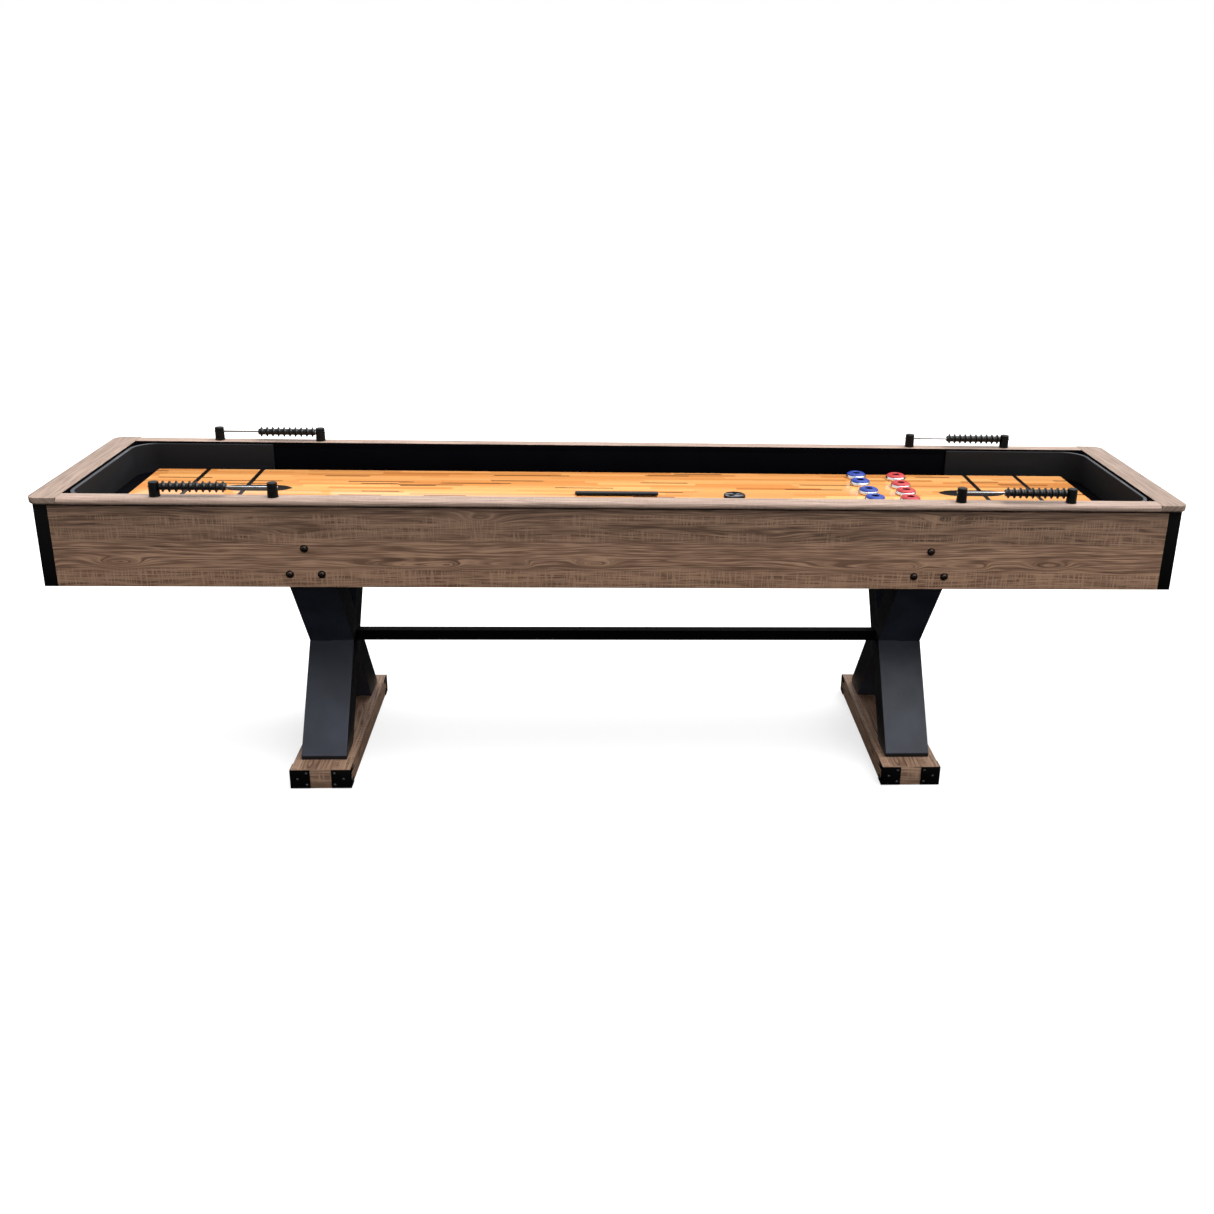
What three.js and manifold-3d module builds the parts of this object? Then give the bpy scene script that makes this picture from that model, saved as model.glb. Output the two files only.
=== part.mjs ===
// A nine-foot shuffleboard table on two X-shaped trestle legs, in millimetres, +Z up.
// X runs along the table, Y across it (the front faces -Y), and the origin lies on the floor
// under the middle of the table.
import * as THREE from 'three';
import * as BufferGeometryUtils from 'three/addons/utils/BufferGeometryUtils.js';
import Module from 'manifold-3d';

const wasm = await Module();
wasm.setup();

// ---------------------------------------------------------------- driving dimensions

const TABLE = { length: 2743, width: 590, height: 762 };
const GAP = 0.3; // clearance where pieces are cut to, or turned against, each other

const RAIL = { thickness: 17, sideWidth: 42, endWidth: 67, overhang: 10 };
const RAIL_ROUND = { outerTop: 9, outerBottom: 6, innerTop: 2, corner: 24 };
const CABINET = { bottom: 542, sideWall: 32, endWall: 57, post: 32 };
const GUTTER_FLOOR = { top: 678, thickness: 18 };
const PLAYFIELD = { length: 2464, width: 392, top: 700 };
const LINER = { thickness: 9, top: 756, outerRadius: 60, leftLeg: 364, rightLeg: 388 };

const LEG = { centreX: 754, width: 114, plankThickness: 80, slope: 1.3, crossingHeight: 306 };
const PLANK_TOE = 11; // height of the upright cut at the foot of each plank
const FOOT = { width: 149, height: 53, halfLength: 289 };
const BRACKET = { plateWidth: 48, thickness: 2, inset: 1, prongLength: 34, prongHeight: 14, spine: 7 };
const STRETCHER = { depth: 28, bottom: 291, top: 319 };

const SCORER = { centreX: 951, centreY: 272.5, postSpacing: 270, rodHeight: 23.5 };
const SCORER_POST = { baseRadius: 12.8, topRadius: 11.7, height: 35, topRound: 1.8 };
const ROD = { radius: 2.5, nub: 1 };
const BEAD = { count: 10, pitch: 15.2, hubRadius: 8.4, ridgeRadius: 13.5, ridgeFoot: 3.6, boreRadius: 2.9 };
const BEAD_REST_GAP = 0.5;

const PUCK = { radius: 27, weightHeight: 9.5, capRadius: 25.8, height: 15 };
const BLUE_PUCKS = [[648, 164], [646, 96], [652, 12], [655, -58]];
const RED_PUCKS = [[755, 151], [751, 72], [750, 5], [746, -62]];
const BRUSH = { centreX: -10, centreY: -24, length: 214, depth: 26, height: 7, handleDepth: 15 };
const WAX_TIN = { centreX: 290, centreY: -64, radius: 28, height: 16 };

const SIDES = { left: -1, right: 1 };
const FACES = { front: -1, back: 1 };

// ---------------------------------------------------------------- worked-out places

const HALF_LENGTH = TABLE.length / 2;
const HALF_WIDTH = TABLE.width / 2;
const RAIL_BOTTOM = TABLE.height - RAIL.thickness;
const CABINET_X = HALF_LENGTH - RAIL.overhang;
const CABINET_Y = HALF_WIDTH - RAIL.overhang;
const WALL_INNER_X = CABINET_X - CABINET.endWall;
const WALL_INNER_Y = CABINET_Y - CABINET.sideWall;
const FLOOR_BOTTOM = GUTTER_FLOOR.top - GUTTER_FLOOR.thickness;
const LEG_INNER = LEG.centreX - LEG.width / 2;
const LEG_OUTER = LEG.centreX + LEG.width / 2;
const STACK_LENGTH = BEAD.count * BEAD.pitch;

// ---------------------------------------------------------------- colours and finishes

const FINISHES = {
  driftwood: { color: 0x8a6f5c, roughness: 0.6, metalness: 0 },
  railwood: { color: 0xb0968a, roughness: 0.5, metalness: 0 },
  blackPaint: { color: 0x1d2126, roughness: 0.45, metalness: 0 },
  blackBoard: { color: 0x0d0e11, roughness: 0.7, metalness: 0 },
  liner: { color: 0x2b2c30, roughness: 0.85, metalness: 0 },
  maple: { color: 0xe8a552, roughness: 0.2, metalness: 0 },
  blackSteel: { color: 0x151515, roughness: 0.5, metalness: 0.6 },
  blackPlastic: { color: 0x18191b, roughness: 0.4, metalness: 0 },
  steel: { color: 0xb9bcc0, roughness: 0.2, metalness: 1 },
  bluePlastic: { color: 0x3c5fc4, roughness: 0.35, metalness: 0 },
  redPlastic: { color: 0xd84b4f, roughness: 0.35, metalness: 0 },
};

const table = new THREE.Group();

function addPiece(name, geometry, finish, parent = table) {
  const mesh = new THREE.Mesh(geometry, new THREE.MeshStandardMaterial(FINISHES[finish]));
  mesh.name = name;
  parent.add(mesh);
  return mesh;
}

// ---------------------------------------------------------------- geometry helpers

function boxBetween(low, high) {
  const size = high.map((value, i) => value - low[i]);
  const geometry = new THREE.BoxGeometry(...size);
  return geometry.translate(...low.map((value, i) => value + size[i] / 2));
}

// A prism of an outline drawn in (y, z), running along X between two places.
function prismAlongX(shape, from, to, curveSegments = 4) {
  const options = { depth: to - from, bevelEnabled: false, curveSegments };
  const geometry = new THREE.ExtrudeGeometry(shape, options);
  const turn = new THREE.Matrix4().makeBasis(
    new THREE.Vector3(0, 1, 0),
    new THREE.Vector3(0, 0, 1),
    new THREE.Vector3(1, 0, 0),
  );
  return geometry.applyMatrix4(turn).translate(from, 0, 0);
}

// A prism of an outline drawn in (x, z), running along Y between two places.
function prismAlongY(shape, from, to, curveSegments = 4) {
  const options = { depth: to - from, bevelEnabled: false, curveSegments };
  const geometry = new THREE.ExtrudeGeometry(shape, options);
  const turn = new THREE.Matrix4().makeBasis(
    new THREE.Vector3(1, 0, 0),
    new THREE.Vector3(0, 0, 1),
    new THREE.Vector3(0, -1, 0),
  );
  return geometry.applyMatrix4(turn).translate(0, to, 0);
}

// A prism of an outline drawn in (x, y), running up between two heights.
function prismUp(shape, from, to, curveSegments = 4) {
  const options = { depth: to - from, bevelEnabled: false, curveSegments };
  return new THREE.ExtrudeGeometry(shape, options).translate(0, 0, from);
}

// A polygon from points, each written as [across, up].
function polygon(points) {
  return new THREE.Shape(points.map(([a, b]) => new THREE.Vector2(a, b)));
}

// A rectangle whose corners have radii in the order: low-low, high-low, high-high, low-high.
function roundedRectangle(a0, b0, a1, b1, [r0, r1, r2, r3]) {
  const shape = new THREE.Shape();
  shape.moveTo(a0 + r0, b0);
  shape.lineTo(a1 - r1, b0);
  shape.absarc(a1 - r1, b0 + r1, r1, -Math.PI / 2, 0);
  shape.lineTo(a1, b1 - r2);
  shape.absarc(a1 - r2, b1 - r2, r2, 0, Math.PI / 2);
  shape.lineTo(a0 + r3, b1);
  shape.absarc(a0 + r3, b1 - r3, r3, Math.PI / 2, Math.PI);
  shape.lineTo(a0, b0 + r0);
  shape.absarc(a0 + r0, b0 + r0, r0, Math.PI, 1.5 * Math.PI);
  return shape;
}

// A turned solid from a profile of [radius, height] points, its axis along Z.
function turned(profile, segments) {
  const points = profile.map(([radius, height]) => new THREE.Vector2(radius, height));
  return new THREE.LatheGeometry(points, segments).rotateX(Math.PI / 2);
}

function toSolid(geometry) {
  const bare = geometry.clone();
  bare.deleteAttribute('normal');
  bare.deleteAttribute('uv');
  const merged = BufferGeometryUtils.mergeVertices(bare, 1e-4);
  return new wasm.Manifold(new wasm.Mesh({
    numProp: 3,
    vertProperties: new Float32Array(merged.attributes.position.array),
    triVerts: new Uint32Array(merged.index.array),
  }));
}

function toGeometry(solid) {
  const { vertProperties, triVerts } = solid.getMesh();
  const geometry = new THREE.BufferGeometry();
  geometry.setAttribute('position', new THREE.BufferAttribute(vertProperties, 3));
  geometry.setIndex(new THREE.BufferAttribute(triVerts, 1));
  geometry.computeVertexNormals();
  return geometry;
}

// ---------------------------------------------------------------- top rails

// Side rails fit between the end rails; their outer edge is rounded over.
function addSideRail(face) {
  const sign = FACES[face];
  const outer = sign * HALF_WIDTH;
  const inner = outer - sign * RAIL.sideWidth;
  const { outerTop, outerBottom, innerTop } = RAIL_ROUND;
  const radii = sign < 0
    ? [outerBottom, 0, innerTop, outerTop]
    : [0, outerBottom, outerTop, innerTop];
  const low = Math.min(outer, inner);
  const high = Math.max(outer, inner);
  const shape = roundedRectangle(low, RAIL_BOTTOM, high, TABLE.height, radii);
  const reach = HALF_LENGTH - RAIL.endWidth;
  addPiece(`rail_${face}`, prismAlongX(shape, -reach, reach), 'railwood');
}

// An end rail seen from above, drawn in by an amount along its three outer edges.
function endRailOutline(sign, inset) {
  const { corner } = RAIL_ROUND;
  const innerX = HALF_LENGTH - RAIL.endWidth;
  const steps = 6;
  const points = [[innerX, -HALF_WIDTH + inset]];
  for (const [startDegrees, centreY] of [[-90, corner - HALF_WIDTH], [0, HALF_WIDTH - corner]]) {
    for (let i = 0; i <= steps; i += 1) {
      const angle = THREE.MathUtils.degToRad(startDegrees + 90 * i / steps);
      points.push([
        HALF_LENGTH - corner + (corner - inset) * Math.cos(angle),
        centreY + (corner - inset) * Math.sin(angle),
      ]);
    }
  }
  points.push([innerX, HALF_WIDTH - inset]);
  return points.map(([x, y]) => [sign * x, sign * y]);
}

// A solid skinned over convex outlines with the same number of points, from the lowest up.
function stacked(layers) {
  const count = layers[0].outline.length;
  const positions = layers.flatMap(({ outline, z }) => outline.flatMap(([x, y]) => [x, y, z]));
  const indices = [];
  for (let layer = 0; layer + 1 < layers.length; layer += 1) {
    for (let i = 0; i < count; i += 1) {
      const a = layer * count + i;
      const b = layer * count + (i + 1) % count;
      indices.push(a, b, b + count, a, b + count, a + count);
    }
  }
  const top = (layers.length - 1) * count;
  for (let i = 1; i + 1 < count; i += 1) {
    indices.push(0, i + 1, i, top, top + i, top + i + 1);
  }
  const geometry = new THREE.BufferGeometry();
  geometry.setAttribute('position', new THREE.Float32BufferAttribute(positions, 3));
  geometry.setIndex(indices);
  geometry.computeVertexNormals();
  return geometry;
}

// End rails run the full width, so they are rounded over on three edges and two corners.
function addEndRail(side) {
  const { outerTop, outerBottom } = RAIL_ROUND;
  const steps = 4;
  const layers = [];
  const addLayer = (inset, z) => layers.push({ outline: endRailOutline(SIDES[side], inset), z });
  for (let i = 0; i <= steps; i += 1) {
    const angle = Math.PI / 2 * i / steps;
    addLayer(outerBottom * (1 - Math.sin(angle)), RAIL_BOTTOM + outerBottom * (1 - Math.cos(angle)));
  }
  for (let i = 0; i <= steps; i += 1) {
    const angle = Math.PI / 2 * i / steps;
    addLayer(outerTop * (1 - Math.cos(angle)), TABLE.height - outerTop * (1 - Math.sin(angle)));
  }
  addPiece(`rail_${side}_end`, stacked(layers), 'railwood');
}

// ---------------------------------------------------------------- cabinet

function addCabinet() {
  const apronReach = CABINET_X - CABINET.post;
  for (const [face, sign] of Object.entries(FACES)) {
    const outer = sign * CABINET_Y;
    const inner = sign * WALL_INNER_Y;
    addPiece(`apron_${face}`, boxBetween(
      [-apronReach, Math.min(outer, inner), CABINET.bottom],
      [apronReach, Math.max(outer, inner), RAIL_BOTTOM],
    ), 'driftwood');
  }
  for (const [side, sign] of Object.entries(SIDES)) {
    const outer = sign * CABINET_X;
    const inner = sign * WALL_INNER_X;
    addPiece(`apron_${side}_end`, boxBetween(
      [Math.min(outer, inner), -WALL_INNER_Y, CABINET.bottom],
      [Math.max(outer, inner), WALL_INNER_Y, RAIL_BOTTOM],
    ), 'driftwood');
    for (const [face, faceSign] of Object.entries(FACES)) {
      const cornerX = [sign * CABINET_X, sign * (CABINET_X - CABINET.post)];
      const cornerY = [faceSign * CABINET_Y, faceSign * (CABINET_Y - CABINET.post)];
      addPiece(`corner_post_${face}_${side}`, boxBetween(
        [Math.min(...cornerX), Math.min(...cornerY), CABINET.bottom],
        [Math.max(...cornerX), Math.max(...cornerY), RAIL_BOTTOM],
      ), 'blackPaint');
    }
  }
  addPiece('gutter_floor', boxBetween(
    [-WALL_INNER_X, -WALL_INNER_Y, FLOOR_BOTTOM],
    [WALL_INNER_X, WALL_INNER_Y, GUTTER_FLOOR.top],
  ), 'blackBoard');
}

function addPlayfield() {
  const halfLength = PLAYFIELD.length / 2;
  const halfWidth = PLAYFIELD.width / 2;
  addPiece('playfield', boxBetween(
    [-halfLength, -halfWidth, GUTTER_FLOOR.top],
    [halfLength, halfWidth, PLAYFIELD.top],
  ), 'maple');
}

// A bumper strip bent into a U: it follows the end wall and returns along both sides.
function addEndLiner(side) {
  const sign = SIDES[side];
  const legLength = side === 'left' ? LINER.leftLeg : LINER.rightLeg;
  const endX = WALL_INNER_X;
  const freeX = endX - legLength;
  const sideY = WALL_INNER_Y;
  const outerR = LINER.outerRadius;
  const innerR = outerR - LINER.thickness;
  const quarter = Math.PI / 2;
  const shape = new THREE.Shape();
  shape.moveTo(freeX, -sideY);
  shape.lineTo(endX - outerR, -sideY);
  shape.absarc(endX - outerR, -sideY + outerR, outerR, -quarter, 0);
  shape.lineTo(endX, sideY - outerR);
  shape.absarc(endX - outerR, sideY - outerR, outerR, 0, quarter);
  shape.lineTo(freeX, sideY);
  shape.lineTo(freeX, sideY - LINER.thickness);
  shape.lineTo(endX - outerR, sideY - LINER.thickness);
  shape.absarc(endX - outerR, sideY - outerR, innerR, quarter, 0, true);
  shape.lineTo(endX - LINER.thickness, -sideY + outerR);
  shape.absarc(endX - outerR, -sideY + outerR, innerR, 0, -quarter, true);
  shape.lineTo(freeX, -sideY + LINER.thickness);
  const strip = prismUp(shape, GUTTER_FLOOR.top, LINER.top, 8);
  if (sign < 0) strip.rotateZ(Math.PI);
  addPiece(`end_liner_${side}`, strip, 'liner');
}

// ---------------------------------------------------------------- trestle legs

// The height band of a plank, measured straight up, and its outline in (y, z).
const PLANK_BAND = LEG.plankThickness / 2 * Math.hypot(1, LEG.slope);

function plankOutline() {
  const rise = CABINET.bottom - LEG.crossingHeight;
  const drop = LEG.crossingHeight - FOOT.height;
  const yAt = (height, offset) => (height - offset) / LEG.slope;
  const toeY = yAt(-drop + PLANK_TOE, PLANK_BAND);
  return polygon([
    [toeY, FOOT.height],
    [yAt(-drop, -PLANK_BAND), FOOT.height],
    [yAt(rise, -PLANK_BAND), CABINET.bottom],
    [yAt(rise, PLANK_BAND), CABINET.bottom],
    [toeY, FOOT.height + PLANK_TOE],
  ]);
}

// The notch that one plank leaves in the other, a little wider than the plank itself.
function lapOutline() {
  const reach = LEG.plankThickness;
  const band = PLANK_BAND + GAP * Math.hypot(1, LEG.slope);
  const centre = LEG.crossingHeight;
  return polygon([
    [-reach, centre - reach * LEG.slope - band],
    [reach, centre + reach * LEG.slope - band],
    [reach, centre + reach * LEG.slope + band],
    [-reach, centre - reach * LEG.slope + band],
  ]);
}

// Two planks cross in a half-lap: each gives up half its width to the other.
function addLeg(side) {
  const sign = SIDES[side];
  const span = (a, b) => [Math.min(sign * a, sign * b), Math.max(sign * a, sign * b)];
  const plank = toSolid(prismAlongX(plankOutline(), ...span(LEG_INNER, LEG_OUTER)));
  const mirrored = [0, 1, 0];
  const cutOuter = toSolid(prismAlongX(lapOutline(), ...span(LEG.centreX - GAP / 2, LEG_OUTER + 1)));
  const cutInner = toSolid(prismAlongX(lapOutline(), ...span(LEG_INNER - 1, LEG.centreX + GAP / 2)));
  const risingBack = plank.subtract(cutOuter.mirror(mirrored));
  const risingFront = plank.mirror(mirrored).subtract(cutInner);
  addPiece(`leg_${side}_plank_rising_back`, toGeometry(risingBack), 'blackPaint');
  addPiece(`leg_${side}_plank_rising_front`, toGeometry(risingFront), 'blackPaint');

  const [beamLow, beamHigh] = span(LEG_INNER, LEG_OUTER);
  addPiece(`leg_top_beam_${side}`, boxBetween(
    [beamLow, -WALL_INNER_Y, CABINET.bottom],
    [beamHigh, WALL_INNER_Y, FLOOR_BOTTOM],
  ), 'blackBoard');

  const [footLow, footHigh] = span(LEG.centreX - FOOT.width / 2, LEG.centreX + FOOT.width / 2);
  addPiece(`foot_beam_${side}`, boxBetween(
    [footLow, -FOOT.halfLength, 0],
    [footHigh, FOOT.halfLength, FOOT.height],
  ), 'driftwood');
}

// A corner bracket: a plate on the foot's end and a forked flange round its side.
// It is drawn for the corner at the highest x and lowest y, then mirrored to the others.
function bracketSolid() {
  const { plateWidth, thickness, inset, prongLength, prongHeight, spine } = BRACKET;
  const low = inset;
  const high = FOOT.height - inset;
  const plate = polygon([[-plateWidth, low], [thickness, low], [thickness, high], [-plateWidth, high]]);
  const flange = polygon([
    [-thickness, low],
    [prongLength, low],
    [prongLength, low + prongHeight],
    [spine, low + prongHeight],
    [spine, high - prongHeight],
    [prongLength, high - prongHeight],
    [prongLength, high],
    [-thickness, high],
  ]);
  const endPlate = toSolid(prismAlongY(plate, -thickness, 0));
  const sideFlange = toSolid(prismAlongX(flange, 0, thickness));
  return endPlate.add(sideFlange);
}

function addFootBrackets(side) {
  const sign = SIDES[side];
  for (const [face, faceSign] of Object.entries(FACES)) {
    for (const [place, placeSign] of [['inner', -1], ['outer', 1]]) {
      const turnX = sign * placeSign;
      let solid = bracketSolid();
      if (turnX < 0) solid = solid.mirror([1, 0, 0]);
      if (faceSign > 0) solid = solid.mirror([0, 1, 0]);
      const cornerX = sign * LEG.centreX + turnX * FOOT.width / 2;
      const bracket = toGeometry(solid).translate(cornerX, faceSign * FOOT.halfLength, 0);
      addPiece(`foot_bracket_${side}_${face}_${place}`, bracket, 'blackSteel');
    }
  }
}

function addStretcher() {
  addPiece('stretcher', boxBetween(
    [-LEG_INNER, -STRETCHER.depth / 2, STRETCHER.bottom],
    [LEG_INNER, STRETCHER.depth / 2, STRETCHER.top],
  ), 'blackPaint');
}

// ---------------------------------------------------------------- scorers

// A slightly tapered round post, bored for the rod.
function scorerPost() {
  const { baseRadius, topRadius, height, topRound } = SCORER_POST;
  const post = toSolid(turned([
    [0, 0],
    [baseRadius, 0],
    [topRadius, height - topRound],
    [topRadius - topRound, height],
    [0, height],
  ], 20));
  const reach = baseRadius + 1;
  const bore = new THREE.CylinderGeometry(BEAD.boreRadius, BEAD.boreRadius, 2 * reach, 12)
    .rotateZ(Math.PI / 2)
    .translate(0, 0, SCORER.rodHeight);
  return toGeometry(post.subtract(toSolid(bore)));
}

// Ten spools in a row, each a hub with a sharp ridge round its middle, along +X from x = 0.
function beadStack() {
  const { count, pitch, hubRadius, ridgeRadius, ridgeFoot, boreRadius } = BEAD;
  const profile = [[boreRadius, 0], [hubRadius, 0]];
  for (let i = 0; i < count; i += 1) {
    const middle = (i + 0.5) * pitch;
    profile.push([hubRadius, middle - ridgeFoot]);
    profile.push([ridgeRadius, middle]);
    profile.push([hubRadius, middle + ridgeFoot]);
  }
  profile.push([hubRadius, STACK_LENGTH]);
  profile.push([boreRadius, STACK_LENGTH]);
  profile.push([boreRadius, 0]);
  return turned(profile, 12).rotateY(Math.PI / 2);
}

// restAgainst says which of its two posts the beads stand against: -1 the left, 1 the right.
function addScorer(face, side, restAgainst) {
  const scorer = new THREE.Group();
  scorer.position.set(SIDES[side] * SCORER.centreX, FACES[face] * SCORER.centreY, TABLE.height);
  table.add(scorer);
  const halfSpacing = SCORER.postSpacing / 2;
  for (const place of ['left', 'right']) {
    const post = addPiece(`scorer_post_${face}_${side}_${place}`, scorerPost(), 'blackPlastic', scorer);
    post.position.x = SIDES[place] * halfSpacing;
  }
  const rodLength = 2 * (halfSpacing + SCORER_POST.baseRadius + ROD.nub);
  const rod = new THREE.CylinderGeometry(ROD.radius, ROD.radius, rodLength, 12).rotateZ(Math.PI / 2);
  addPiece(`scorer_rod_${face}_${side}`, rod, 'steel', scorer).position.z = SCORER.rodHeight;

  const clearHalf = halfSpacing - SCORER_POST.baseRadius - BEAD_REST_GAP;
  const startX = restAgainst < 0 ? -clearHalf : clearHalf - STACK_LENGTH;
  const beads = addPiece(`scorer_beads_${face}_${side}`, beadStack(), 'blackPlastic', scorer);
  beads.position.set(startX, 0, SCORER.rodHeight);
}

// ---------------------------------------------------------------- loose accessories

// A steel weight with a plastic cap, whose raised ring leaves a dimple in the middle.
function puckGeometry() {
  const { radius, weightHeight, capRadius, height } = PUCK;
  return turned([
    [0, 0],
    [radius - 1.2, 0],
    [radius, 1.2],
    [radius, weightHeight - 1.2],
    [radius - 1.2, weightHeight],
    [capRadius, weightHeight + 0.6],
    [capRadius - 2, height - 0.8],
    [capRadius - 7, height],
    [8, height - 1.2],
    [6, weightHeight + 1],
    [0, weightHeight + 1],
  ], 24);
}

function addPucks(colour, places, finish) {
  places.forEach(([x, y], i) => {
    addPiece(`puck_${colour}_${i + 1}`, puckGeometry(), finish).position.set(x, y, PLAYFIELD.top);
  });
}

// A table brush lying on its side: a flat handle with a row of bristles towards the front.
function addBrush() {
  const { centreX, centreY, length, depth, height, handleDepth } = BRUSH;
  const front = centreY - depth / 2;
  const back = centreY + depth / 2;
  const handleFront = back - handleDepth;
  const bottom = PLAYFIELD.top;
  const top = bottom + height;
  const outline = polygon([
    [front, bottom + 0.8],
    [handleFront, bottom + 0.8],
    [handleFront + 0.8, bottom],
    [back - 1.5, bottom],
    [back, bottom + 1.5],
    [back, top - 1.5],
    [back - 1.5, top],
    [handleFront + 0.8, top],
    [handleFront, top - 0.8],
    [front, top - 0.8],
  ]);
  const halfLength = length / 2;
  addPiece('brush', prismAlongX(outline, centreX - halfLength, centreX + halfLength), 'blackPlastic');
}

function addWaxTin() {
  const { centreX, centreY, radius, height } = WAX_TIN;
  const tin = turned([
    [0, 0],
    [radius - 2, 0],
    [radius - 1, 1],
    [radius - 1, height - 7],
    [radius, height - 6],
    [radius, height - 1],
    [radius - 1, height],
    [radius - 3, height],
    [radius - 4, height - 1],
    [0, height - 1],
  ], 28);
  addPiece('wax_tin', tin, 'blackPlastic').position.set(centreX, centreY, PLAYFIELD.top);
}

// ---------------------------------------------------------------- the table

Object.keys(FACES).forEach(addSideRail);
Object.keys(SIDES).forEach(addEndRail);
addCabinet();
addPlayfield();
Object.keys(SIDES).forEach(addEndLiner);
Object.keys(SIDES).forEach(addLeg);
Object.keys(SIDES).forEach(addFootBrackets);
addStretcher();
addScorer('front', 'left', -1);
addScorer('front', 'right', 1);
addScorer('back', 'left', 1);
addScorer('back', 'right', 1);
addPucks('blue', BLUE_PUCKS, 'bluePlastic');
addPucks('red', RED_PUCKS, 'redPlastic');
addBrush();
addWaxTin();

export default table;
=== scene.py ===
"""The looks of a nine-foot shuffleboard table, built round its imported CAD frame.

Every length is in metres, in the frame's own axes: X along the table, Y across it with the front
facing -Y, Z up from the floor. Mesh vertices are in that frame too, so object coordinates in a
material are places on the table.
"""

import math
import random

import bmesh
import bpy
from mathutils import Euler, Matrix, Vector


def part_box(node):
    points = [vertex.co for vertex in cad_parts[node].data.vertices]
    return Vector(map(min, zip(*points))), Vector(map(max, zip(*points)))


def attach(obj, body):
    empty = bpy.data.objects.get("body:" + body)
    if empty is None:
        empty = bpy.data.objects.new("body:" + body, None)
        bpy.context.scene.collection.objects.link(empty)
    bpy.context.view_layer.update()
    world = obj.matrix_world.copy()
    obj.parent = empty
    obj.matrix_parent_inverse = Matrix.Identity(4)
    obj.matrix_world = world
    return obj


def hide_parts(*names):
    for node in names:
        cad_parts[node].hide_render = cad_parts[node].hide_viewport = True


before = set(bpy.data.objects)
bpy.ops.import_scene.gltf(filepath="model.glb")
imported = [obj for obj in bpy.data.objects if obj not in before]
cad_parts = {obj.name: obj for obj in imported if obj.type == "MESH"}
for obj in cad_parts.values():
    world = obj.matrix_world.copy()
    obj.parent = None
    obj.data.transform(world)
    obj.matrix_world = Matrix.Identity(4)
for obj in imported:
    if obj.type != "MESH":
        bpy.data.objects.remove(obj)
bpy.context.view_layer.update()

MM = 0.001
SIDES = {"left": -1, "right": 1}
FACES = {"front": -1, "back": 1}

RAIL_ROUND = {"outer_top": 9 * MM, "outer_bottom": 6 * MM, "inner_top": 2 * MM, "corner": 24 * MM}
BOARD_EDGE = 0.8 * MM
APRON_BOARD = 20 * MM
SHADOW_GAP = 4 * MM
BUMPER_THICKNESS = 9 * MM
BUMPER_RADIUS = 60 * MM
BEADS_PER_ROD = 10
PUCKS_PER_COLOUR = 4

# Places along X are measured from the table's middle, and are the same on both halves. A marker
# has its X and Y, then half its length and width. The bumpers' top edge turns from dark along the
# arms to pale round the closed end over BUMPER_BEND. Each bolt has its X and its height.
FOUL_LINES = (1.100, 0.9585)
FOUL_LINE_WIDTH = 12 * MM
MARKER_AT = (0.930, 0.018)
MARKER_HALF = (0.090, 0.028)
BUMPER_BEND = (1.235, 1.280)
BOLT_PLACES = ((0.751, 0.639), (0.714, 0.5745), (0.789, 0.5745))


# ---------------------------------------------------------------- node materials

def screen_colour(red, green, blue):
    """A colour given as 0 to 255 screen values, as the linear colour that a shader takes.

    The materials below are given screen values, and turn them into linear colours themselves.
    """
    def linear(value):
        part = value / 255
        return part / 12.92 if part <= 0.04045 else ((part + 0.055) / 1.055) ** 2.4
    return (linear(red), linear(green), linear(blue), 1.0)


def shaded(colour, factor, lift=0.0):
    """A linear colour made darker or lighter by a factor, then lifted."""
    return tuple(min(1.0, value * factor + lift) for value in colour[:3]) + (1.0,)


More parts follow.
